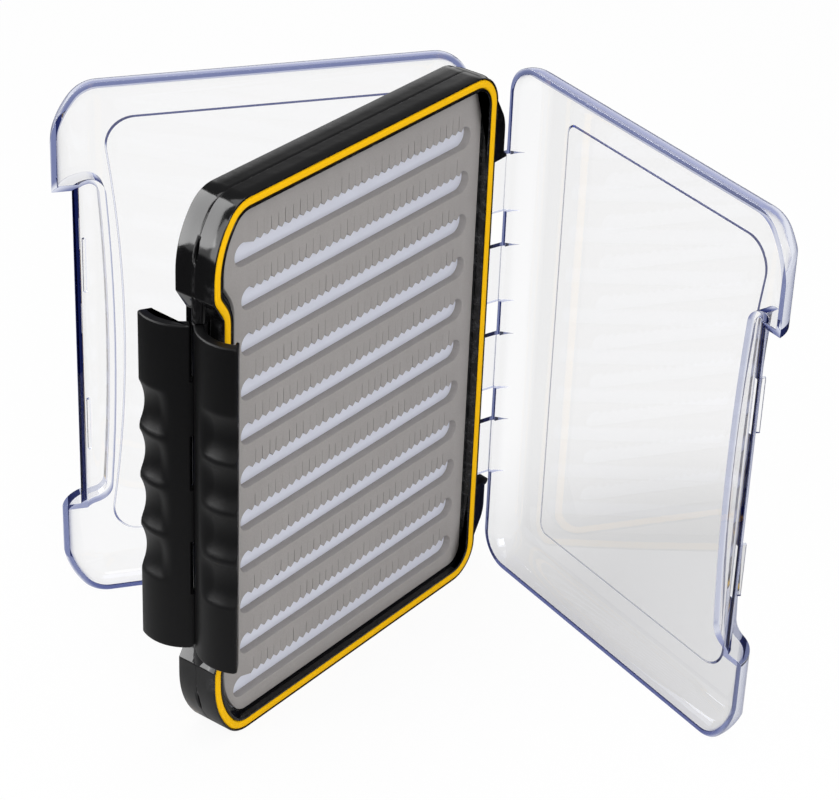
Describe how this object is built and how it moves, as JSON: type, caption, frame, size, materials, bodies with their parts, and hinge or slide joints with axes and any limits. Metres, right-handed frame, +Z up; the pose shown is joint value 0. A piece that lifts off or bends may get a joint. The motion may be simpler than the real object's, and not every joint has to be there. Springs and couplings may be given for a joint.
{
  "type": "two-sided fly box",
  "caption": "Slim upright storage box for fishing flies with a slotted foam frame between two clear hinged lids that close under curved finger latches.",
  "frame": {"origin": "middle of the frame's lower short side, on the face it stands on", "axes": "+Z up along the box's long side, +X from the latch side to the hinge side, front lid and the pictured face towards -Y"},
  "size_m": [0.1531, 0.2161, 0.1814],
  "materials": {
    "frame": "gloss black moulded plastic",
    "sheet": "pale bluish plastic sheet",
    "foam": "matt grey closed-cell foam",
    "gasket": "soft yellow seal",
    "pin": "bright drawn wire",
    "lid": "clear glossy moulded plastic",
    "latch": "satin black moulded plastic"
  },
  "bodies": {
    "frame": {"frame_front": "frame", "frame_rear": "frame", "centre_sheet": "sheet", "front_foam": "foam", "rear_foam": "foam", "front_gasket": "gasket", "rear_gasket": "gasket", "hinge_pin": "pin", "latch_pin": "pin"},
    "front_lid": {"front_lid": "lid"},
    "rear_lid": {"rear_lid": "lid"},
    "front_latch": {"front_latch": "latch"},
    "rear_latch": {"rear_latch": "latch"}
  },
  "joints": [
    {"name": "front_lid_hinge", "type": "hinge", "parent": "frame", "child": "front_lid", "pos_m": [0.068, 0, 0.0907], "axis": [0, 0, 1], "range_deg": [-71.9, 16.1]},
    {"name": "rear_lid_hinge", "type": "hinge", "parent": "frame", "child": "rear_lid", "pos_m": [0.068, 0, 0.0907], "axis": [0, 0, -1], "range_deg": [-35.9, 52.1]},
    {"name": "front_latch_hinge", "type": "hinge", "parent": "frame", "child": "front_latch", "pos_m": [-0.06305, 0, 0.0907], "axis": [0, 0, -1], "range_deg": [-40, 6]},
    {"name": "rear_latch_hinge", "type": "hinge", "parent": "frame", "child": "rear_latch", "pos_m": [-0.06305, 0, 0.0907], "axis": [0, 0, 1], "range_deg": [-44, 2]}
  ]
}
